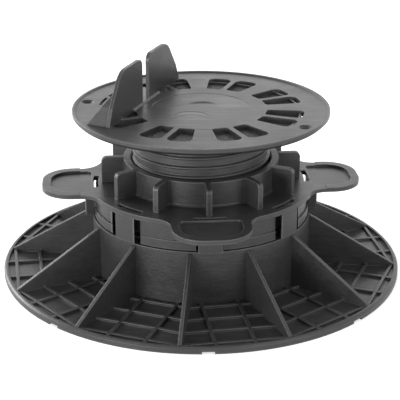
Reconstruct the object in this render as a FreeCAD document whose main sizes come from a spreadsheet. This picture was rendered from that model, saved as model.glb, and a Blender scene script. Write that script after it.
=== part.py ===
import FreeCAD, Part
import math
import os
import Sketcher

# Decking pedestal: an adjustable support for terrace joists, in three black
# polypropylene mouldings. The base stands on the ground, the adjusting nut
# turns on the base's neck, and the screw head rises on the nut's thread.
# Millimetres, +Z up, origin at the centre of the base's underside, front at -Y.

Vector = FreeCAD.Vector

doc = FreeCAD.newDocument("decking_pedestal")

# Driving sizes, in millimetres and degrees.
SIZES = {
    # Base: floor, rim and drain notches.
    "base_radius": 100.0,
    "base_floor": 1.6,
    "rim_wall": 2.0,
    "rim_height": 3.3,
    "rim_chamfer": 0.9,
    "notch_count": 8,
    "notch_width": 5.8,
    "notch_height": 1.2,
    "notch_depth": 3.5,
    # Base: hollow tube that carries the load.
    "tube_radius": 54.4,
    "tube_wall": 2.6,
    "tube_height": 29.1,
    "tube_ledge": 2.5,
    # Base: webs from the tube to the rim.
    "web_count": 12,
    "web_thickness": 1.7,
    "web_turn": -7.5,
    "web_shoulder": 0.5,
    "web_step": 0.8,
    "web_end_step": 0.4,
    # Base: low grid of ribs on the floor between two webs.
    "rib_width": 1.5,
    "rib_rise": 1.2,
    "rib_first": 57.0,
    "rib_pitch": 12.2,
    "rib_spread": 9.0,
    # Base: neck that the nut turns on, with the lip that the hooks catch.
    "groove_radius": 48.2,
    "groove_height": 4.2,
    "lip_rise": 2.2,
    "neck_wall": 2.5,
    "neck_height": 42.6,
    # Running clearances.
    "seat_gap": 0.3,
    "skirt_gap": 0.4,
    "hook_gap": 0.4,
    "foot_gap": 0.4,
    "thread_gap": 0.35,
    # Thread of the screw and the nut, right-hand, with slim ridges.
    "thread_pitch": 4.8,
    "thread_depth": 1.1,
    "thread_crest": 0.6,
    "thread_flank": 0.6,
    # Adjusting nut: flange and skirt.
    "nut_turn": 2.6,
    "flange_thickness": 2.4,
    "flange_radius": 56.7,
    "skirt_wall": 2.3,
    "band_rise": 0.7,
    "band_height": 4.5,
    # Adjusting nut: collar with grip fins.
    "collar_wall": 4.15,
    "collar_rise": 12.6,
    "collar_foot": 0.8,
    "collar_depth": 9.0,
    "lead_in": 0.9,
    "fin_count": 12,
    "fin_thickness": 2.7,
    "fin_reach": 11.0,
    "fin_rise": 0.5,
    "fin_corner": 2.5,
    # Adjusting nut: core slots of the mould, one over each window.
    "core_count": 8,
    "core_width": 2.5,
    "core_length": 16.0,
    # Adjusting nut: snap fingers in windows between the ears, with sides that
    # run straight to the front and back, as the mould's slides part.
    "finger_inner": 54.0,
    "finger_outer": 55.6,
    "finger_near": 35.0,
    "finger_width": 8.6,
    "slot_near_width": 2.9,
    "slot_far_width": 1.4,
    "hook_height": 3.1,
    "hook_lead": 1.8,
    # Adjusting nut: stout tabs, hooked like the fingers, under the ears.
    "tab_outer": 58.2,
    "tab_width": 11.7,
    "tab_window": 13.1,
    # Adjusting nut: four ears for the hand, each with a shallow well.
    "ear_count": 4,
    "ear_reach": 79.1,
    "ear_width": 37.2,
    "ear_corner": 15.0,
    "ear_root": 10.5,
    "ear_step": 0.55,
    "ear_rim": 4.2,
    "ear_rim_rise": 0.4,
    "ear_sink": 0.9,
    "well_start": 54.9,
    "well_corner": 2.0,
    # Screw head: disc.
    "head_turn": 157.5,
    "head_height": 82.4,
    "disc_radius": 63.1,
    "disc_thickness": 2.6,
    "disc_chamfer": 1.4,
    "disc_lip": 0.7,
    "disc_lip_width": 1.2,
    # Screw head: pairs of pockets round the disc, all but the one behind the
    # stops, which has only a slit where the pockets' outer ends would be.
    "pair_count": 8,
    "pair_angle": 31.2,
    "slot_inner": 32.3,
    "slot_outer": 50.8,
    "slot_web": 2.5,
    "slot_corner": 3.4,
    "slot_inner_corner": 1.8,
    # Screw head: plate under the pockets, with a ring near its edge.
    "plate_radius": 49.2,
    "plate_depth": 2.3,
    "plate_thickness": 2.0,
    "ring_width": 1.1,
    "ring_rise": 1.1,
    # Screw head: two upright side stops in one line.
    "stop_offset": 29.2,
    "stop_thickness": 1.8,
    "stop_height": 23.3,
    "stop_half": 44.4,
    "stop_shoulder": 40.2,
    "stop_shoulder_height": 8.5,
    "stop_crown": 28.7,
    "stop_gap": 8.2,
    "stop_corner": 11.5,
    "stop_inner_corner": 3.8,
    "wing_set_back": 0.8,
    "wing_top_width": 0.8,
    "wing_reach": 10.3,
    "wing_height": 14.0,
    "bead_half": 16.5,
    "bead_side": 0.9,
    # Screw head: two countersunk screw holes.
    "hole_place": 56.3,
    "hole_shift": 10.5,
    "hole_diameter": 4.2,
    "hole_sink": 1.1,
    # Screw head: hollow threaded stem.
    "stem_radius": 33.0,
    "stem_wall": 3.0,
    "stem_length": 56.8,
    "thread_start": 5.0,
    "thread_end": 3.4,
}

sheet = doc.addObject("Spreadsheet::Sheet", "sizes")
for row, (alias, number) in enumerate(SIZES.items(), start=1):
    sheet.set("A%d" % row, alias)
    sheet.set("B%d" % row, str(number))
    sheet.setAlias("B%d" % row, alias)
doc.recompute()


# A size keeps its value and the expression that ties it to the sheet.
class Size:
    def __init__(self, value, text):
        self.value = float(value)
        self.text = text

    def __add__(self, other):
        other = as_size(other)
        return Size(self.value + other.value, "(%s + %s)" % (self.text, other.text))

    def __sub__(self, other):
        other = as_size(other)
        return Size(self.value - other.value, "(%s - %s)" % (self.text, other.text))

    def __mul__(self, other):
        other = as_size(other)
        return Size(self.value * other.value, "(%s * %s)" % (self.text, other.text))

    def __truediv__(self, other):
        other = as_size(other)
        return Size(self.value / other.value, "(%s / %s)" % (self.text, other.text))

    def __neg__(self):
        return Size(-self.value, "(0 - %s)" % self.text)


def as_size(item):
    if isinstance(item, Size):
        return item
    return Size(item, repr(float(item)))


def root(item):
    return Size(math.sqrt(item.value), "sqrt(%s)" % item.text)


def tangent_of(item):
    return Size(math.tan(math.radians(item.value)), "tan(%s * 1 deg)" % item.text)


# How far in front of the axis a circle passes the distance x beside it.
def depth_at(radius, x):
    return root(radius * radius - x * x)


def degrees_at(width, radius):
    ratio = width / (radius * 2)
    value = math.degrees(math.asin(ratio.value)) * 2
    return Size(value, "(2 * asin(%s) / 1 deg)" % ratio.text)


def size(alias):
    return Size(sheet.get(alias), "sizes." + alias)


def origin_item(body, role):
    return next(item for item in body.Origin.OriginFeatures if item.Role == role)


# A sketch on one of its body's origin planes, lifted along the plane's normal
# and turned about the body's Z axis.
def new_sketch(body, name, plane, lift=None, turn=None):
    sketch = body.newObject("Sketcher::SketchObject", name)
    sketch.AttachmentSupport = [(origin_item(body, plane), "")]
    sketch.MapMode = "FlatFace"
    spin = Vector(0, 0, 1) if plane == "XY_Plane" else Vector(0, 1, 0)
    angle = turn.value if turn else 0
    height = lift.value if lift else 0
    rotation = FreeCAD.Rotation(spin, angle)
    sketch.AttachmentOffset = FreeCAD.Placement(Vector(0, 0, height), rotation)
    if lift:
        sketch.setExpression("AttachmentOffset.Base.z", lift.text)
    if turn:
        sketch.setExpression("AttachmentOffset.Rotation.Angle", turn.text)
    return sketch


# Ties a point of the sketch to the sheet by its two distances from the origin.
def pin_point(sketch, geometry, end, corner):
    for kind, place in (("DistanceX", corner[0]), ("DistanceY", corner[1])):
        made = Sketcher.Constraint(kind, -1, 1, geometry, end, place.value)
        index = sketch.addConstraint(made)
        sketch.setExpression("Constraints[%d]" % index, place.text)


# The centre of an arc that leaves a to the left (radius > 0) or right of b.
def arc_centre(a, b, radius):
    middle = (a + b) * 0.5
    chord = b - a
    height = math.sqrt(max(radius * radius - chord.Length ** 2 / 4, 0))
    side = Vector(-chord.y, chord.x, 0)
    side.normalize()
    return middle + side * math.copysign(height, radius)


# Draws a closed outline from corners (x, y) or (x, y, radius): with a radius,
# the edge that leaves the corner is an arc, counter-clockwise when positive.
def draw_outline(sketch, corners):
    corners = [tuple(as_size(item) for item in corner) for corner in corners]
    places = [Vector(corner[0].value, corner[1].value, 0) for corner in corners]
    edges = []
    for index, corner in enumerate(corners):
        start = places[index]
        stop = places[(index + 1) % len(places)]
        if len(corner) == 2:
            made = sketch.addGeometry(Part.LineSegment(start, stop), False)
            edges.append((made, 1, 2))
            continue
        radius = corner[2]
        centre = arc_centre(start, stop, radius.value)
        circle = Part.Circle(centre, Vector(0, 0, 1), abs(radius.value))
        if radius.value > 0:
            first, last, ends = start, stop, (1, 2)
        else:
            first, last, ends = stop, start, (2, 1)
        begin = math.atan2(first.y - centre.y, first.x - centre.x)
        finish = math.atan2(last.y - centre.y, last.x - centre.x)
        made = sketch.addGeometry(Part.ArcOfCircle(circle, begin, finish), False)
        edges.append((made,) + ends)
    for index, (made, start, stop) in enumerate(edges):
        after = edges[(index + 1) % len(edges)]
        joined = Sketcher.Constraint("Coincident", made, stop, after[0], after[1])
        sketch.addConstraint(joined)
    for index, (made, start, stop) in enumerate(edges):
        pin_point(sketch, made, start, corners[index])
        if len(corners[index]) == 3:
            radius = corners[index][2]
            tied = radius if radius.value > 0 else -radius
            wanted = Sketcher.Constraint("Radius", made, tied.value)
            position = sketch.addConstraint(wanted)
            sketch.setExpression("Constraints[%d]" % position, tied.text)


def draw_box(sketch, left, right, low, high):
    draw_outline(sketch, [(left, low), (right, low), (right, high), (left, high)])


# Draws the two parts of a ring, left and right in front of the axis, that lie
# between two distances beside it.
def draw_slices(sketch, inner, outer, near_side, far_side):
    for sign in (-1, 1):
        draw_outline(sketch, [
            (near_side * sign, -depth_at(outer, near_side), outer * sign),
            (far_side * sign, -depth_at(outer, far_side)),
            (far_side * sign, -depth_at(inner, far_side), -(inner * sign)),
            (near_side * sign, -depth_at(inner, near_side)),
        ])


def draw_circle(sketch, x, y, diameter):
    centre = Vector(x.value, y.value, 0)
    circle = Part.Circle(centre, Vector(0, 0, 1), diameter.value / 2)
    made = sketch.addGeometry(circle, False)
    pin_point(sketch, made, 3, (x, y))
    index = sketch.addConstraint(Sketcher.Constraint("Diameter", made, diameter.value))
    sketch.setExpression("Constraints[%d]" % index, diameter.text)


def pad(body, name, sketch, length, both_ways=False):
    feature = body.newObject("PartDesign::Pad", name)
    feature.Profile = sketch
    feature.Length = length.value
    feature.setExpression("Length", length.text)
    feature.Refine = False
    if both_ways:
        feature.SideType = "Symmetric"
    body.Tip = feature
    return feature


def pocket(body, name, sketch, length, up, both_ways=False):
    feature = body.newObject("PartDesign::Pocket", name)
    feature.Profile = sketch
    feature.Length = length.value
    feature.setExpression("Length", length.text)
    feature.Refine = False
    feature.Reversed = up
    if both_ways:
        feature.SideType = "Symmetric"
    body.Tip = feature
    return feature


# Turns a profile about the body's Z axis, all the way or by an angle shared
# equally to both sides of the sketch.
def turned(body, kind, name, sketch, angle=None):
    feature = body.newObject("PartDesign::" + kind, name)
    feature.Profile = sketch
    feature.ReferenceAxis = (origin_item(body, "Z_Axis"), [""])
    feature.Refine = False
    feature.Angle = angle.value if angle else 360
    if angle:
        feature.Midplane = True
        feature.setExpression("Angle", angle.text)
    body.Tip = feature
    return feature


# Repeats features about the Z axis, all the way round or through an angle.
def polar(body, name, features, count, angle=None):
    feature = body.newObject("PartDesign::PolarPattern", name)
    feature.Originals = features
    feature.Refine = False
    feature.Axis = (origin_item(body, "Z_Axis"), [""])
    feature.Angle = angle.value if angle else 360
    if angle:
        feature.setExpression("Angle", angle.text)
    feature.Occurrences = int(round(count.value))
    feature.setExpression("Occurrences", count.text)
    body.Tip = feature
    return feature


# Rounds or chamfers the edges that a test picks on the body's present shape,
# once the seams between its joined faces are cleaned away.
def dress(body, kind, name, amount, wanted):
    base = body.Tip
    base.Refine = True
    doc.recompute()
    names = []
    for index, edge in enumerate(base.Shape.Edges, start=1):
        if wanted(edge):
            names.append("Edge%d" % index)
    feature = body.newObject("PartDesign::" + kind, name)
    feature.Base = (base, names)
    label = "Radius" if kind == "Fillet" else "Size"
    setattr(feature, label, amount.value)
    feature.setExpression(label, amount.text)
    body.Tip = feature
    return feature


def is_upright(edge):
    if edge.Curve.TypeId != "Part::GeomLine" or len(edge.Vertexes) != 2:
        return False
    return abs(edge.Curve.Direction.z) > 0.999


def from_axis(point):
    return math.hypot(point.x, point.y)


def near(a, b):
    return abs(a - b) < 0.02


# Winds a profile about the Z axis as a right-hand thread.
def thread(body, name, sketch, pitch, length):
    feature = body.newObject("PartDesign::AdditiveHelix", name)
    feature.Profile = sketch
    feature.ReferenceAxis = (origin_item(body, "Z_Axis"), [""])
    feature.Mode = 0
    feature.Pitch = pitch.value
    feature.setExpression("Pitch", pitch.text)
    feature.Height = length.value
    feature.setExpression("Height", length.text)
    feature.Angle = 0
    feature.Growth = 0
    feature.LeftHanded = False
    feature.Reversed = False
    feature.Refine = True
    body.Tip = feature
    return feature


# Sizes that follow from the driving ones.
rim_inner = size("base_radius") - size("rim_wall")
tube_inner = size("tube_radius") - size("tube_wall")
lip_radius = size("groove_radius") + size("lip_rise")
lip_bottom = size("tube_height") + size("groove_height")
flange_bottom = size("neck_height") + size("seat_gap")
flange_top = flange_bottom + size("flange_thickness")
skirt_inner = lip_radius + size("skirt_gap")
skirt_outer = skirt_inner + size("skirt_wall")
skirt_foot = size("tube_height") + size("foot_gap")
stem_crest = size("stem_radius") + size("thread_depth")
bore_radius = stem_crest + size("thread_gap")
bore_crest = size("stem_radius") + size("thread_gap")
collar_outer = bore_radius + size("collar_wall")
collar_top = flange_top + size("collar_rise")
collar_bottom = flange_bottom - size("collar_depth")
disc_bottom = size("head_height") - size("disc_thickness")
stem_bottom = disc_bottom - size("stem_length")
ridge_half = size("thread_crest") / 2
# A thread's flank leans by this much for each millimetre of depth.
flank_slope = size("thread_flank") / size("thread_depth")
# How far a piece's profile runs into the one that it grows from.
SINK = 0.3


def make_base():
    body = doc.addObject("PartDesign::Body", "base")
    body.Label = "base"

    # Floor, rim, tube and neck in one profile.
    profile = new_sketch(body, "base_profile", "XZ_Plane")
    ledge_bottom = size("tube_height") - size("tube_ledge")
    neck_inner = size("groove_radius") - size("neck_wall")
    lip_inner = lip_radius - size("neck_wall")
    draw_outline(profile, [
        (tube_inner, 0),
        (size("base_radius"), 0),
        (size("base_radius"), size("rim_height") - size("rim_chamfer")),
        (size("base_radius") - size("rim_chamfer"), size("rim_height")),
        (rim_inner, size("rim_height")),
        (rim_inner, size("base_floor")),
        (size("tube_radius"), size("base_floor")),
        (size("tube_radius"), size("tube_height")),
        (size("groove_radius"), size("tube_height")),
        (size("groove_radius"), lip_bottom),
        (lip_radius, lip_bottom),
        (lip_radius, size("neck_height")),
        (lip_inner, size("neck_height")),
        (lip_inner, lip_bottom + size("lip_rise")),
        (neck_inner, lip_bottom),
        (neck_inner, ledge_bottom),
        (tube_inner, ledge_bottom),
    ])
    turned(body, "Revolution", "base_shell", profile)

    # Twelve webs, straight from the tube's shoulder down to the rim.
    side = new_sketch(body, "web_outline", "XZ_Plane", turn=size("web_turn"))
    inside = tube_inner + SINK
    outside = rim_inner + SINK
    foot = size("base_floor") - SINK
    draw_outline(side, [
        (inside, foot),
        (outside, foot),
        (outside, size("rim_height") - size("web_end_step")),
        (size("tube_radius") + size("web_shoulder"), size("tube_height") - size("web_step")),
        (inside, size("tube_height") - size("web_step")),
    ])
    web = pad(body, "web", side, size("web_thickness"), both_ways=True)
    polar(body, "webs", [web], size("web_count"))

    # The grid on the floor, square to the line midway between two webs.
    half_bay = as_size(180) / size("web_count")
    bay_turn = size("web_turn") + half_bay
    across = new_sketch(body, "cross_ribs_plan", "XY_Plane", foot, bay_turn)
    for step in range(4):
        middle = size("rib_first") + size("rib_pitch") * step
        half = middle * tangent_of(half_bay)
        low = middle - size("rib_width") / 2
        high = middle + size("rib_width") / 2
        draw_box(across, low, high, -half, half)
    rise = size("rib_rise") + SINK
    cross_ribs = pad(body, "cross_ribs", across, rise)
    polar(body, "all_cross_ribs", [cross_ribs], size("web_count"))
    along = new_sketch(body, "long_ribs_plan", "XY_Plane", foot, bay_turn)
    start = root(size("tube_radius") * size("tube_radius") - size("rib_spread") * size("rib_spread"))
    start = start - size("tube_wall") / 2
    for sign in (-1, 1):
        middle = size("rib_spread") * sign
        low = middle - size("rib_width") / 2
        high = middle + size("rib_width") / 2
        draw_box(along, start, rim_inner, low, high)
    long_ribs = pad(body, "long_ribs", along, rise)
    polar(body, "all_long_ribs", [long_ribs], size("web_count"))

    # Drain notches under the rim.
    gate = new_sketch(body, "notch_plan", "XY_Plane")
    half = size("notch_width") / 2
    inner = size("base_radius") - size("notch_depth")
    draw_box(gate, inner, size("base_radius") + SINK, -half, half)
    notch = pocket(body, "notch", gate, size("notch_height"), up=True)
    notches = polar(body, "notches", [notch], size("notch_count"))
    notches.Refine = True
    return body


def make_nut():
    body = doc.addObject("PartDesign::Body", "adjusting_nut")
    body.Label = "adjusting_nut"

    # Collar, flange and skirt in one profile.
    profile = new_sketch(body, "nut_profile", "XZ_Plane")
    band_outer = skirt_outer + size("band_rise")
    band_top = skirt_foot + size("band_height")
    draw_outline(profile, [
        (bore_radius, collar_bottom),
        (collar_outer, collar_bottom),
        (collar_outer, flange_bottom),
        (skirt_inner, flange_bottom),
        (skirt_inner, skirt_foot),
        (band_outer, skirt_foot),
        (band_outer, band_top),
        (skirt_outer, band_top),
        (skirt_outer, flange_bottom),
        (size("flange_radius"), flange_bottom),
        (size("flange_radius"), flange_top),
        (collar_outer + size("collar_foot"), flange_top),
        (collar_outer, flange_top + size("collar_foot")),
        (collar_outer, collar_top),
        (bore_radius + size("lead_in"), collar_top),
        (bore_radius, collar_top - size("lead_in")),
    ])
    turned(body, "Revolution", "nut_shell", profile)

    # Four ears: a plate with a low rim, run into the flange by hollow curves.
    half_ear = size("ear_width") / 2
    reach = size("ear_reach")
    corner = size("ear_corner")
    span = size("flange_radius") + size("ear_root")
    rise = half_ear + size("ear_root")
    root_x = root(span * span - rise * rise)
    share = size("flange_radius") / span
    ear_bottom = flange_bottom + size("ear_step")
    plan = new_sketch(body, "ear_plan", "XY_Plane", ear_bottom)
    draw_outline(plan, [
        (root_x * share, -(rise * share), -size("ear_root")),
        (root_x, -half_ear),
        (reach - corner, -half_ear, corner),
        (reach, corner - half_ear),
        (reach, half_ear - corner, corner),
        (reach - corner, half_ear),
        (root_x, half_ear, -size("ear_root")),
        (root_x * share, rise * share),
    ])
    plate = pad(body, "ear_plate", plan, flange_top - ear_bottom)
    rim_plan = new_sketch(body, "ear_rim_plan", "XY_Plane", flange_top - SINK)
    inner_half = half_ear - size("ear_rim")
    inner_reach = reach - size("ear_rim")
    inner_corner = corner - size("ear_rim")
    draw_outline(rim_plan, [
        (root_x, -half_ear),
        (reach - corner, -half_ear, corner),
        (reach, corner - half_ear),
        (reach, half_ear - corner, corner),
        (reach - corner, half_ear),
        (root_x, half_ear),
        (root_x, inner_half),
        (inner_reach - inner_corner, inner_half, -inner_corner),
        (inner_reach, inner_half - inner_corner),
        (inner_reach, inner_corner - inner_half, -inner_corner),
        (inner_reach - inner_corner, -inner_half),
        (root_x, -inner_half),
    ])
    rim = pad(body, "ear_rim", rim_plan, size("ear_rim_rise") + SINK)
    polar(body, "ears", [plate, rim], size("ear_count"))
    well = new_sketch(body, "ear_well_plan", "XY_Plane", flange_top - size("ear_sink"))
    start = size("well_start")
    bend = size("well_corner")
    draw_outline(well, [
        (start + bend, -inner_half),
        (inner_reach - inner_corner, -inner_half, inner_corner),
        (inner_reach, inner_corner - inner_half),
        (inner_reach, inner_half - inner_corner, inner_corner),
        (inner_reach - inner_corner, inner_half),
        (start + bend, inner_half, bend),
        (start, inner_half - bend),
        (start, bend - inner_half, bend),
    ])
    depth = size("ear_sink") + size("ear_rim_rise") + SINK
    sunk = pocket(body, "ear_well", well, depth, up=True)
    polar(body, "ear_wells", [sunk], size("ear_count"))

    # The mould's core slots through the flange.
    inner = size("finger_inner")
    core_inner = inner - size("core_width")
    core = new_sketch(body, "core_outline", "XZ_Plane")
    draw_box(core, core_inner, inner, flange_bottom - SINK, flange_top + SINK)
    core_slot = turned(body, "Groove", "core_slot", core, degrees_at(size("core_length"), inner))
    polar(body, "core_slots", [core_slot], size("core_count"))

    # Windows in the skirt between the ears, each with a finger.
    hook_tip = size("groove_radius") + size("hook_gap")
    hook_top = lip_bottom - size("hook_gap")
    hook_foot = hook_top - size("hook_height")
    near_side = size("finger_near")
    far_side = near_side + size("finger_width")
    gap = new_sketch(body, "finger_window_plan", "XY_Plane", skirt_foot - SINK)
    draw_slices(gap, skirt_inner - SINK, band_outer + SINK,
                near_side - size("slot_near_width"), far_side + size("slot_far_width"))
    window = pocket(body, "finger_window", gap, flange_bottom - skirt_foot + SINK, up=True)
    polar(body, "finger_windows", [window], as_size(2))
    plate_plan = new_sketch(body, "finger_plan", "XY_Plane", hook_foot)
    draw_slices(plate_plan, inner, size("finger_outer"), near_side, far_side)
    finger = pad(body, "finger", plate_plan, flange_bottom + SINK - hook_foot)
    hook_plan = new_sketch(body, "finger_hook_plan", "XY_Plane", hook_foot)
    draw_slices(hook_plan, hook_tip, inner + SINK, near_side, far_side)
    hook = pad(body, "finger_hook", hook_plan, size("hook_height"))
    polar(body, "fingers", [finger, hook], as_size(2))

    # Stout tabs in windows under the ears.
    opening = new_sketch(body, "tab_window_outline", "XZ_Plane")
    draw_box(opening, skirt_inner - SINK, inner, skirt_foot - SINK, flange_bottom)
    window = turned(body, "Groove", "tab_window", opening, degrees_at(size("tab_window"), inner))
    polar(body, "tab_windows", [window], size("ear_count"))
    block = new_sketch(body, "tab_outline", "XZ_Plane")
    draw_outline(block, [
        (size("tab_outer"), ear_bottom + SINK),
        (inner, ear_bottom + SINK),
        (inner, hook_top),
        (hook_tip, hook_top),
        (hook_tip, hook_foot),
        (size("tab_outer"), hook_foot),
    ])
    tab = turned(body, "Revolution", "tab", block, degrees_at(size("tab_width"), size("tab_outer")))
    polar(body, "tabs", [tab], size("ear_count"))

    # A lead under every hook, so that they snap over the neck's lip.
    lead = new_sketch(body, "hook_lead_outline", "XZ_Plane")
    draw_outline(lead, [
        (hook_tip - SINK, hook_foot - SINK),
        (hook_tip + size("hook_lead") + SINK, hook_foot - SINK),
        (hook_tip - SINK, hook_foot + size("hook_lead") + SINK),
    ])
    turned(body, "Groove", "hook_leads", lead)

    # Grip fins round the collar.
    blade = new_sketch(body, "fin_outline", "XZ_Plane")
    fin_inner = collar_outer - size("collar_foot")
    fin_outer = collar_outer + size("fin_reach")
    fin_top = collar_top + size("fin_rise")
    draw_outline(blade, [
        (fin_inner, flange_top - SINK),
        (fin_outer, flange_top - SINK),
        (fin_outer, fin_top - size("fin_corner"), size("fin_corner")),
        (fin_outer - size("fin_corner"), fin_top),
        (collar_outer + SINK, fin_top),
        (fin_inner, collar_top - size("collar_foot") - SINK),
    ])
    fin = pad(body, "fin", blade, size("fin_thickness"), both_ways=True)
    polar(body, "fins", [fin], size("fin_count"))

    # Internal thread, half a pitch from the screw's ridges at the same angle.
    turn_share = (size("nut_turn") - size("head_turn")) / 360 + 0.5
    first = stem_bottom + size("thread_start") + size("thread_pitch") * turn_share
    climb = math.ceil((collar_bottom.value + 2.0 - first.value) / SIZES["thread_pitch"])
    centre = first + size("thread_pitch") * climb
    top = collar_top - size("lead_in") - size("thread_crest") - size("thread_flank")
    ridge = new_sketch(body, "nut_ridge", "XZ_Plane")
    foot_half = ridge_half + size("thread_flank") + flank_slope * SINK
    draw_outline(ridge, [
        (bore_crest, centre - ridge_half),
        (bore_radius + SINK, centre - foot_half),
        (bore_radius + SINK, centre + foot_half),
        (bore_crest, centre + ridge_half),
    ])
    thread(body, "nut_thread", ridge, size("thread_pitch"), top - centre)
    body.Placement = FreeCAD.Placement(Vector(), FreeCAD.Rotation(Vector(0, 0, 1), SIZES["nut_turn"]))
    body.setExpression("Placement.Rotation.Angle", "sizes.nut_turn")
    return body


def make_head():
    body = doc.addObject("PartDesign::Body", "screw_head")
    body.Label = "screw_head"

    # Disc with a low lip.
    profile = new_sketch(body, "disc_profile", "XZ_Plane")
    top = size("head_height")
    disc = size("disc_radius")
    chamfer = size("disc_chamfer")
    lip_inner = disc - size("disc_lip_width")
    draw_outline(profile, [
        (0, disc_bottom),
        (disc - chamfer, disc_bottom),
        (disc, disc_bottom + chamfer),
        (disc, top + size("disc_lip")),
        (lip_inner, top + size("disc_lip")),
        (lip_inner - size("disc_lip"), top),
        (0, top),
    ])
    turned(body, "Revolution", "disc", profile)

    # Seven sector openings, each parted into two by a web.
    step = as_size(360) / size("pair_count")
    pairs = size("pair_count") - 1
    sweep = as_size(360) - step * 2
    sector = new_sketch(body, "sector_outline", "XZ_Plane", turn=step)
    draw_box(sector, size("slot_inner"), size("slot_outer"), disc_bottom - SINK, top + SINK)
    opening = turned(body, "Groove", "sector", sector, size("pair_angle"))
    polar(body, "sectors", [opening], pairs, sweep)
    half_web = size("slot_web") / 2
    strip = new_sketch(body, "slot_web_plan", "XY_Plane", disc_bottom, step)
    draw_box(strip, size("slot_inner") - SINK, size("slot_outer") + SINK, -half_web, half_web)
    web = pad(body, "slot_web", strip, size("disc_thickness"))
    polar(body, "slot_webs", [web], pairs, sweep)
    outer = SIZES["slot_outer"]
    inner = SIZES["slot_inner"]
    dress(body, "Fillet", "slot_outer_corners", size("slot_corner"),
          lambda edge: is_upright(edge) and near(from_axis(edge.CenterOfMass), outer))
    dress(body, "Fillet", "slot_inner_corners", size("slot_inner_corner"),
          lambda edge: is_upright(edge) and near(from_axis(edge.CenterOfMass), inner))

    # The slit behind the stops, in two halves.
    slit = new_sketch(body, "slit_outline", "XZ_Plane")
    draw_box(slit, size("plate_radius"), size("slot_outer"), disc_bottom - SINK, top + SINK)
    turned(body, "Groove", "slit", slit, size("pair_angle"))
    bridge = new_sketch(body, "slit_bridge_plan", "XY_Plane", disc_bottom)
    draw_box(bridge, size("plate_radius") - SINK, size("slot_outer") + SINK, -half_web, half_web)
    pad(body, "slit_bridge", bridge, size("disc_thickness"))

    # Hollow stem, and the plate that floors the pockets, short of their ends.
    under = new_sketch(body, "stem_profile", "XZ_Plane")
    plate_top = top - size("plate_depth")
    plate_bottom = plate_top - size("plate_thickness")
    stem_inner = size("stem_radius") - size("stem_wall")
    ring_inner = size("plate_radius") - size("ring_width")
    draw_outline(under, [
        (stem_inner, stem_bottom),
        (size("stem_radius"), stem_bottom),
        (size("stem_radius"), plate_bottom),
        (size("plate_radius"), plate_bottom),
        (size("plate_radius"), plate_top + size("ring_rise")),
        (ring_inner, plate_top + size("ring_rise")),
        (ring_inner, plate_top),
        (stem_inner, plate_top),
    ])
    turned(body, "Revolution", "stem_and_plate", under)

    # Two side stops in one upright plane, with a gap between them.
    plane = new_sketch(body, "stop_outline", "YZ_Plane", size("stop_offset"))
    crown = top + size("stop_height")
    shoulder = top + size("stop_shoulder_height")
    foot = top - SINK
    half_gap = size("stop_gap") / 2
    for sign in (-1, 1):
        draw_outline(plane, [
            (half_gap * sign, foot),
            (size("stop_half") * sign, foot),
            (size("stop_half") * sign, top),
            (size("stop_shoulder") * sign, shoulder),
            (size("stop_crown") * sign, crown),
            (half_gap * sign, crown),
        ])
    pad(body, "stops", plane, size("stop_thickness"))
    for name, radius, high, wide in (
        ("stop_outer_corners", "stop_corner", crown, size("stop_crown")),
        ("stop_inner_corners", "stop_inner_corner", crown, half_gap),
    ):
        dress(body, "Fillet", name, size(radius),
              lambda edge: near(edge.CenterOfMass.z, high.value) and near(abs(edge.CenterOfMass.y), wide.value))

    # A wing behind each stop's outer edge. Its outer face leans with the edge
    # and its inner face is upright, so that the mould draws off upwards.
    back = size("stop_offset") + size("stop_thickness")
    wing_top = top + size("wing_height")
    share = (size("wing_height") - size("stop_shoulder_height")) / (crown - shoulder)
    tip = size("stop_shoulder") - (size("stop_shoulder") - size("stop_crown")) * share
    set_back = size("wing_set_back")
    inside = tip - set_back - size("wing_top_width")
    wing = new_sketch(body, "wing_outline", "YZ_Plane", back - SINK)
    for sign in (-1, 1):
        draw_outline(wing, [
            ((size("stop_half") - set_back) * sign, foot),
            ((size("stop_half") - set_back) * sign, top),
            ((size("stop_shoulder") - set_back) * sign, shoulder),
            ((tip - set_back) * sign, wing_top),
            (inside * sign, wing_top),
            (inside * sign, foot),
        ])
    pad(body, "wings", wing, size("wing_reach") + SINK)
    slope = new_sketch(body, "wing_slope_outline", "XZ_Plane")
    draw_outline(slope, [
        (back + size("wing_reach"), top),
        (back + size("wing_reach") + SINK, top),
        (back + size("wing_reach") + SINK, wing_top + SINK),
        (back, wing_top + SINK),
        (back, wing_top),
    ])
    pocket(body, "wing_slope", slope, size("stop_half") * 2 + SINK, up=False, both_ways=True)

    # A low bead along the stops' inner foot.
    seam = new_sketch(body, "foot_bead_outline", "XZ_Plane")
    face = size("stop_offset")
    draw_outline(seam, [
        (face - size("bead_side"), foot),
        (face + SINK, foot),
        (face + SINK, top + size("bead_side")),
        (face, top + size("bead_side")),
        (face - size("bead_side"), top),
    ])
    pad(body, "foot_bead", seam, size("bead_half") * 2, both_ways=True)

    # Two countersunk screw holes.
    plan = new_sketch(body, "hole_plan", "XY_Plane", top + SINK)
    for sign in (-1, 1):
        draw_circle(plan, size("hole_place") * sign, size("hole_shift"), size("hole_diameter"))
    pocket(body, "screw_holes", plan, size("disc_thickness") + SINK * 2, up=False)
    reach = SIZES["hole_diameter"] / 2
    level = SIZES["head_height"]

    def at_hole(edge):
        if edge.Curve.TypeId != "Part::GeomCircle" or not near(edge.Curve.Radius, reach):
            return False
        return near(edge.Curve.Center.z, level)

    dress(body, "Chamfer", "hole_sinks", size("hole_sink"), at_hole)

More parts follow.
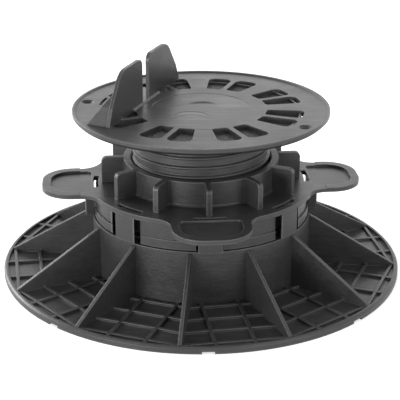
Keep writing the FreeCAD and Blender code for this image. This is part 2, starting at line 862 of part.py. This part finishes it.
    # External thread, from near the stem's foot to just under the disc.
    centre = stem_bottom + size("thread_start")
    foot_half = ridge_half + size("thread_flank") + flank_slope * SINK
    ridge = new_sketch(body, "stem_ridge", "XZ_Plane")
    draw_outline(ridge, [
        (size("stem_radius") - SINK, centre - foot_half),
        (stem_crest, centre - ridge_half),
        (stem_crest, centre + ridge_half),
        (size("stem_radius") - SINK, centre + foot_half),
    ])
    length = size("stem_length") - size("thread_start") - size("thread_end")
    thread(body, "stem_thread", ridge, size("thread_pitch"), length)
    body.Placement = FreeCAD.Placement(Vector(), FreeCAD.Rotation(Vector(0, 0, 1), SIZES["head_turn"]))
    body.setExpression("Placement.Rotation.Angle", "sizes.head_turn")
    return body


bodies = [make_base(), make_nut(), make_head()]
doc.recompute()

# Nothing is written unless every object is sound.
for item in doc.Objects:
    if "Invalid" in item.State or "Error" in item.State:
        raise RuntimeError("%s failed: %s" % (item.Name, item.State))
for body in bodies:
    if body.Shape.isNull() or not body.Shape.isValid():
        raise RuntimeError("%s has no valid shape" % body.Label)
    if len(body.Shape.Solids) != 1:
        raise RuntimeError("%s is not one solid" % body.Label)

os.makedirs("parts", exist_ok=True)
for body in bodies:
    body.Shape.exportStep(os.path.join("parts", body.Label + ".step"))
    print("%s volume %.1f mm3" % (body.Label, body.Shape.Volume))
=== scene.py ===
import math

import bpy
from mathutils import Euler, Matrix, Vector

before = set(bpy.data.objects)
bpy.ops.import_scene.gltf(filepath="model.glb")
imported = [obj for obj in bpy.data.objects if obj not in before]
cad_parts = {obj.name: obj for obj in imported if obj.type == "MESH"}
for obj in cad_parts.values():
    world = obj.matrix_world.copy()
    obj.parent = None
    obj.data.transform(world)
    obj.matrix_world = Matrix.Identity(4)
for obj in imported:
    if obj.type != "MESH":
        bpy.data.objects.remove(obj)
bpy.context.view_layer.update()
print("frame loaded:", ", ".join(sorted(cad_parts)))

mm = 0.001


def linearColour(hexCode):
    # sRGB hex to the linear colour that a socket wants
    channels = [int(hexCode[i:i + 2], 16) / 255 for i in (0, 2, 4)]
    return [c / 12.92 if c <= 0.04045 else ((c + 0.055) / 1.055) ** 2.4 for c in channels] + [1.0]


def addNode(tree, kind, settings=None):
    # settings go by the name of a property or input; an output socket given for an input is linked
    node = tree.nodes.new(kind)
    for name, value in (settings or {}).items():
        if not isinstance(name, int) and name not in node.inputs:
            setattr(node, name, value)
        elif isinstance(value, bpy.types.NodeSocket):
            tree.links.new(value, node.inputs[name])
        else:
            node.inputs[name].default_value = value
    return node


def maths(tree, operation, first, second):
    return addNode(tree, "ShaderNodeMath", {"operation": operation, 0: first, 1: second}).outputs[0]


def vectorMaths(tree, operation, first, second=(0, 0, 0)):
    # the number for a distance, else the vector
    node = addNode(tree, "ShaderNodeVectorMath", {"operation": operation, 0: first, 1: second})
    return node.outputs["Value" if operation == "DISTANCE" else "Vector"]


def mapRange(tree, value, source, target=(0.0, 1.0), interpolation="LINEAR"):
    return addNode(tree, "ShaderNodeMapRange", {
        "interpolation_type": interpolation, "Value": value, "From Min": source[0], "From Max": source[1],
        "To Min": target[0], "To Max": target[1]}).outputs[0]


def mixColour(tree, share, first, second):
    return addNode(tree, "ShaderNodeMix", {"data_type": "RGBA", 0: share, 6: first, 7: second}).outputs[2]


def noise(tree, place, pattern):
    drawn = addNode(tree, "ShaderNodeMapping",
                    {"Scale": [1 / (size * mm) for size in pattern["size"]], "Vector": place}).outputs[0]
    return addNode(tree, "ShaderNodeTexNoise", {
        "Scale": 1.0, "Detail": pattern["detail"], "Roughness": pattern["roughness"],
        "Vector": drawn}).outputs["Fac"]


def newMaterial(name):
    material = bpy.data.materials.new(name)
    material.use_nodes = True
    material.node_tree.nodes.clear()
    return material, material.node_tree


# Moulded polypropylene, carbon black: satin skin off a spark-eroded mould, with flow streaks and
# outer edges painted pale as a highlight. Pattern sizes are in mm along x, y and z.
plastic = {
    "baseColour": "2a2a2a",
    "paleColour": "353535",       # where the skin is a little burnished
    "edgeHighlightColour": "545454",       # outer edges, a painted highlight
    "roughness": (0.33, 0.47),
    "ior": 1.49,
    "patternShift": (3.1, 2.17, 0.0),  # m, from one moulding's patterns to the next one's
    "clouds": {"size": (22.0, 22.0, 22.0), "detail": 4.0, "roughness": 0.55},  # melt flow marks
    "streaks": {"size": (16.0, 1.6, 1.3), "detail": 3.0, "roughness": 0.6},
    "streakHeight": 0.055,        # mm
    # Eroded texture of the mould, drawn coarser than the real 0.1 mm so that it shows
    "grain": {"size": (0.9, 0.9, 0.9), "detail": 2.0, "roughness": 0.6},
    "grainHeight": 0.08,          # mm
    "streakShare": 0.5,           # of the streaks in their blend with the clouds
    "colourRange": (0.38, 0.62),  # levels of that blend that take the base and the pale colour
    "glossRange": (0.35, 0.65),   # levels of it that take the two roughnesses
    "edgeHighlightWidth": 1.0,             # mm, how far the painted edge highlight goes in from an edge
    "edgeHighlightRange": (0.85, 0.45),    # occlusion inside the wall at which it starts and is full
    "edgeRadius": 0.5,            # mm, edges as they leave the mould
    "edgeSamples": 6,
}

# What the mould's inserts and ejectors leave on the disc, in mm seen from above
discMarks = {
    "top": 82.4,                  # height of the disc's top face
    "topReach": 0.4,              # how far below it the marks still count
    "recesses": [                 # round: x, y, radius, depth, width of the sloped edge
        (0.0, 0.0, 24.3, 0.75, 0.6),
        (0.6, 2.6, 6.2, 1.30, 4.4),
        (-5.5, -14.4, 8.8, 0.60, 0.6),
        (-5.3, -18.7, 8.0, 0.28, 0.6),
    ],
    "recessFade": 0.7,            # share of the radius over which the depth grows, towards the back
    "panels": [                   # rectangular: x, y, half width, half length, depth
        (0.0, -40.3, 3.6, 7.4, 0.20),
        (0.0, 42.5, 3.9, 5.5, 0.20),
    ],
    "panelEdge": 0.3,             # half the width of their sloped edge
    "pocketLevels": (77.9, 80.6),  # between these the pockets' floors are rough, left as machined
    "floorRoughness": 0.5,
    "floorColour": "161616",      # darker pocket floors, painted shade in the recesses
    "floorRelief": {"size": (2.0, 2.0, 2.0), "detail": 2.0, "roughness": 0.5},
    "floorReliefHeight": 1.1,     # deeper than the real marks, so that it shows
}


def recessHeight(tree, flat, marks):
    # sum of the marks' heights in mm, from places on the flat top
    total = 0.0
    panelSlope = (-marks["panelEdge"], marks["panelEdge"])
    alongY = addNode(tree, "ShaderNodeSeparateXYZ", {0: flat}).outputs[1]
    for x, y, radius, depth, edge in marks["recesses"]:
        reach = vectorMaths(tree, "DISTANCE", flat, (x, y, 0))
        step = mapRange(tree, reach, (radius - edge / 2, radius + edge / 2), (-depth, 0.0), "SMOOTHSTEP")
        fade = mapRange(tree, alongY, (y, y + marks["recessFade"] * radius))
        total = maths(tree, "ADD", total, maths(tree, "MULTIPLY", step, fade))
    for x, y, halfWidth, halfLength, depth in marks["panels"]:
        folded = vectorMaths(tree, "ABSOLUTE", vectorMaths(tree, "SUBTRACT", flat, (x, y, 0)))
        past = vectorMaths(tree, "SUBTRACT", folded, (halfWidth, halfLength, 0))
        parts = addNode(tree, "ShaderNodeSeparateXYZ", {0: past}).outputs
        furthest = maths(tree, "MAXIMUM", parts[0], parts[1])
        step = mapRange(tree, furthest, panelSlope, (-depth, 0.0), "SMOOTHSTEP")
        total = maths(tree, "ADD", total, step)
    return total


def mouldedPolypropylene(name, index, marks=None):
    material, tree = newMaterial(name)
    place = addNode(tree, "ShaderNodeTexCoord").outputs["Object"]
    shifted = vectorMaths(tree, "ADD", place, [index * step for step in plastic["patternShift"]])
    clouds = noise(tree, shifted, plastic["clouds"])
    streaks = noise(tree, shifted, plastic["streaks"])
    grain = noise(tree, shifted, plastic["grain"])

    # Colour: clouds and streaks between the two blacks, then a painted highlight on the outer edges
    blend = addNode(tree, "ShaderNodeMix", {0: plastic["streakShare"], 2: clouds, 3: streaks}).outputs[0]
    colour = mixColour(tree, mapRange(tree, blend, plastic["colourRange"]),
                       linearColour(plastic["baseColour"]), linearColour(plastic["paleColour"]))
    # painted highlight: a paler colour on outer edges, found by occlusion from inside the wall
    inward = addNode(tree, "ShaderNodeAmbientOcclusion", {
        "samples": plastic["edgeSamples"], "inside": True, "only_local": True,
        "Distance": plastic["edgeHighlightWidth"] * mm}).outputs["AO"]
    colour = mixColour(tree, mapRange(tree, inward, plastic["edgeHighlightRange"]), colour,
                       linearColour(plastic["edgeHighlightColour"]))

    # Gloss follows the same blend, so that the sheen on flat faces is mottled
    gloss = mapRange(tree, blend, plastic["glossRange"], plastic["roughness"])

    # Relief in mm: grain, streaks and, on the disc, what the mould leaves
    height = maths(tree, "ADD", maths(tree, "MULTIPLY", grain, plastic["grainHeight"]),
                   maths(tree, "MULTIPLY", streaks, plastic["streakHeight"]))
    if marks:
        inMm = vectorMaths(tree, "MULTIPLY", place, (1 / mm, 1 / mm, 1 / mm))
        flat = vectorMaths(tree, "MULTIPLY", inMm, (1, 1, 0))
        level = addNode(tree, "ShaderNodeSeparateXYZ", {0: inMm}).outputs[2]
        onTop = maths(tree, "GREATER_THAN", level, marks["top"] - marks["topReach"])
        pressed = maths(tree, "MULTIPLY", recessHeight(tree, flat, marks), onTop)
        lowest, highest = marks["pocketLevels"]
        inPocket = maths(tree, "MULTIPLY", maths(tree, "GREATER_THAN", level, lowest),
                         maths(tree, "LESS_THAN", level, highest))
        tooled = maths(tree, "MULTIPLY", noise(tree, place, marks["floorRelief"]), marks["floorReliefHeight"])
        height = maths(tree, "ADD", maths(tree, "ADD", height, pressed),
                       maths(tree, "MULTIPLY", tooled, inPocket))
        gloss = addNode(tree, "ShaderNodeMix", {0: inPocket, 2: gloss, 3: marks["floorRoughness"]}).outputs[0]
        # The pocket floors take a darker colour: painted shade in the recesses.
        colour = mixColour(tree, inPocket, colour, linearColour(marks["floorColour"]))

    edges = addNode(tree, "ShaderNodeBevel",
                    {"samples": plastic["edgeSamples"], "Radius": plastic["edgeRadius"] * mm}).outputs[0]
    relief = addNode(tree, "ShaderNodeBump",
                     {"Strength": 1.0, "Distance": mm, "Height": height, "Normal": edges}).outputs[0]
    shader = addNode(tree, "ShaderNodeBsdfPrincipled", {
        "IOR": plastic["ior"], "Base Color": colour, "Roughness": gloss, "Normal": relief}).outputs[0]
    addNode(tree, "ShaderNodeOutputMaterial", {"Surface": shader})
    return material


for index, (node, piece) in enumerate(sorted(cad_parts.items())):
    marks = discMarks if node == "screw_head" else None
    material = mouldedPolypropylene("mouldedPolypropylene_" + node, index, marks)
    for slot in piece.material_slots:
        slot.material = material
print("materials done")

# Studio: white ground, soft boxes behind for the sheen on the flat tops, and one in front at each side.
# Places and sizes are in m, powers in W.
studio = {
    "floorColour": "f4f4f4",
    "floorSize": 1.8,             # ends short of the lamps, since behind them it would look grey
    "floorLevel": -0.0001,        # just under the base, whose underside is at 0
    "floorGlow": 0.52,            # only for the rays that see the ground white
    "fill": 0.38,
    "aim": (0.0, 0.0, 0.05),      # point that the lights face
    "lights": {
        "backLight": {"at": (0.0, 1.1, 0.5), "size": (1.2, 0.6), "power": 2.0},
        "leftBackLight": {"at": (-0.9, 0.6, 0.4), "size": (0.6, 0.6), "power": 10.2},
        "leftFrontLight": {"at": (-0.85, -0.85, 0.22), "size": (0.6, 0.4), "power": 10.8},
        "rightFrontLight": {"at": (0.8, -0.9, 0.5), "size": (0.8, 0.8), "power": 7.7},
        "rightBackLight": {"at": (0.9, 0.6, 0.4), "size": (0.6, 0.6), "power": 1.0},
    },
}


def seesWhite(tree):
    # 1 for rays from the camera, off gloss and through clear parts, 0 for those that light the object
    rays = addNode(tree, "ShaderNodeLightPath").outputs
    direct = maths(tree, "MAXIMUM", rays["Is Camera Ray"], rays["Is Glossy Ray"])
    return maths(tree, "MAXIMUM", direct, rays["Is Transmission Ray"])


bpy.ops.mesh.primitive_plane_add(size=studio["floorSize"], location=(0, 0, studio["floorLevel"]))
floor = bpy.context.object
floor.name = "floor"
floorPaint, tree = newMaterial("paleFloor")
matt = addNode(tree, "ShaderNodeBsdfDiffuse", {"Color": linearColour(studio["floorColour"])}).outputs[0]
glow = addNode(tree, "ShaderNodeEmission", {"Strength": studio["floorGlow"]}).outputs[0]
bright = addNode(tree, "ShaderNodeAddShader", {0: matt, 1: glow}).outputs[0]
surface = addNode(tree, "ShaderNodeMixShader", {0: seesWhite(tree), 1: matt, 2: bright}).outputs[0]
addNode(tree, "ShaderNodeOutputMaterial", {"Surface": surface})
floor.data.materials.append(floorPaint)

scene = bpy.context.scene
scene.world = bpy.data.worlds.new("studioWorld")
scene.world.use_nodes = True
tree = scene.world.node_tree
tree.nodes.clear()
fill, white = [addNode(tree, "ShaderNodeBackground", {"Color": (1, 1, 1, 1), "Strength": strength}).outputs[0]
               for strength in (studio["fill"], 1.0)]
sky = addNode(tree, "ShaderNodeMixShader", {0: seesWhite(tree), 1: fill, 2: white}).outputs[0]
addNode(tree, "ShaderNodeOutputWorld", {"Surface": sky})

for name, setting in studio["lights"].items():
    lamp = bpy.data.lights.new(name, "AREA")
    lamp.shape = "RECTANGLE"
    lamp.size, lamp.size_y = setting["size"]
    lamp.energy = setting["power"]
    holder = bpy.data.objects.new(name, lamp)
    holder.location = setting["at"]
    holder.rotation_euler = (Vector(studio["aim"]) - holder.location).to_track_quat("-Z", "Y").to_euler()
    holder.visible_camera = False
    scene.collection.objects.link(holder)

# Camera where the photograph was taken from
view = {
    "at": (-0.02016, -0.60777, 0.27715),  # m
    "pitch": 21.82,                       # degrees below level
    "heading": 1.85,                      # degrees to the right of +Y
    "lens": 116.8,                        # mm
    "sensor": 36.0,                       # mm
}
camera = bpy.data.cameras.new("camera")
camera.lens = view["lens"]
camera.sensor_width = view["sensor"]
holder = bpy.data.objects.new("camera", camera)
holder.location = view["at"]
holder.rotation_euler = Euler((math.radians(90 - view["pitch"]), 0, math.radians(-view["heading"])))
scene.collection.objects.link(holder)
scene.camera = holder
scene.view_settings.view_transform = "Standard"
print("studio done")
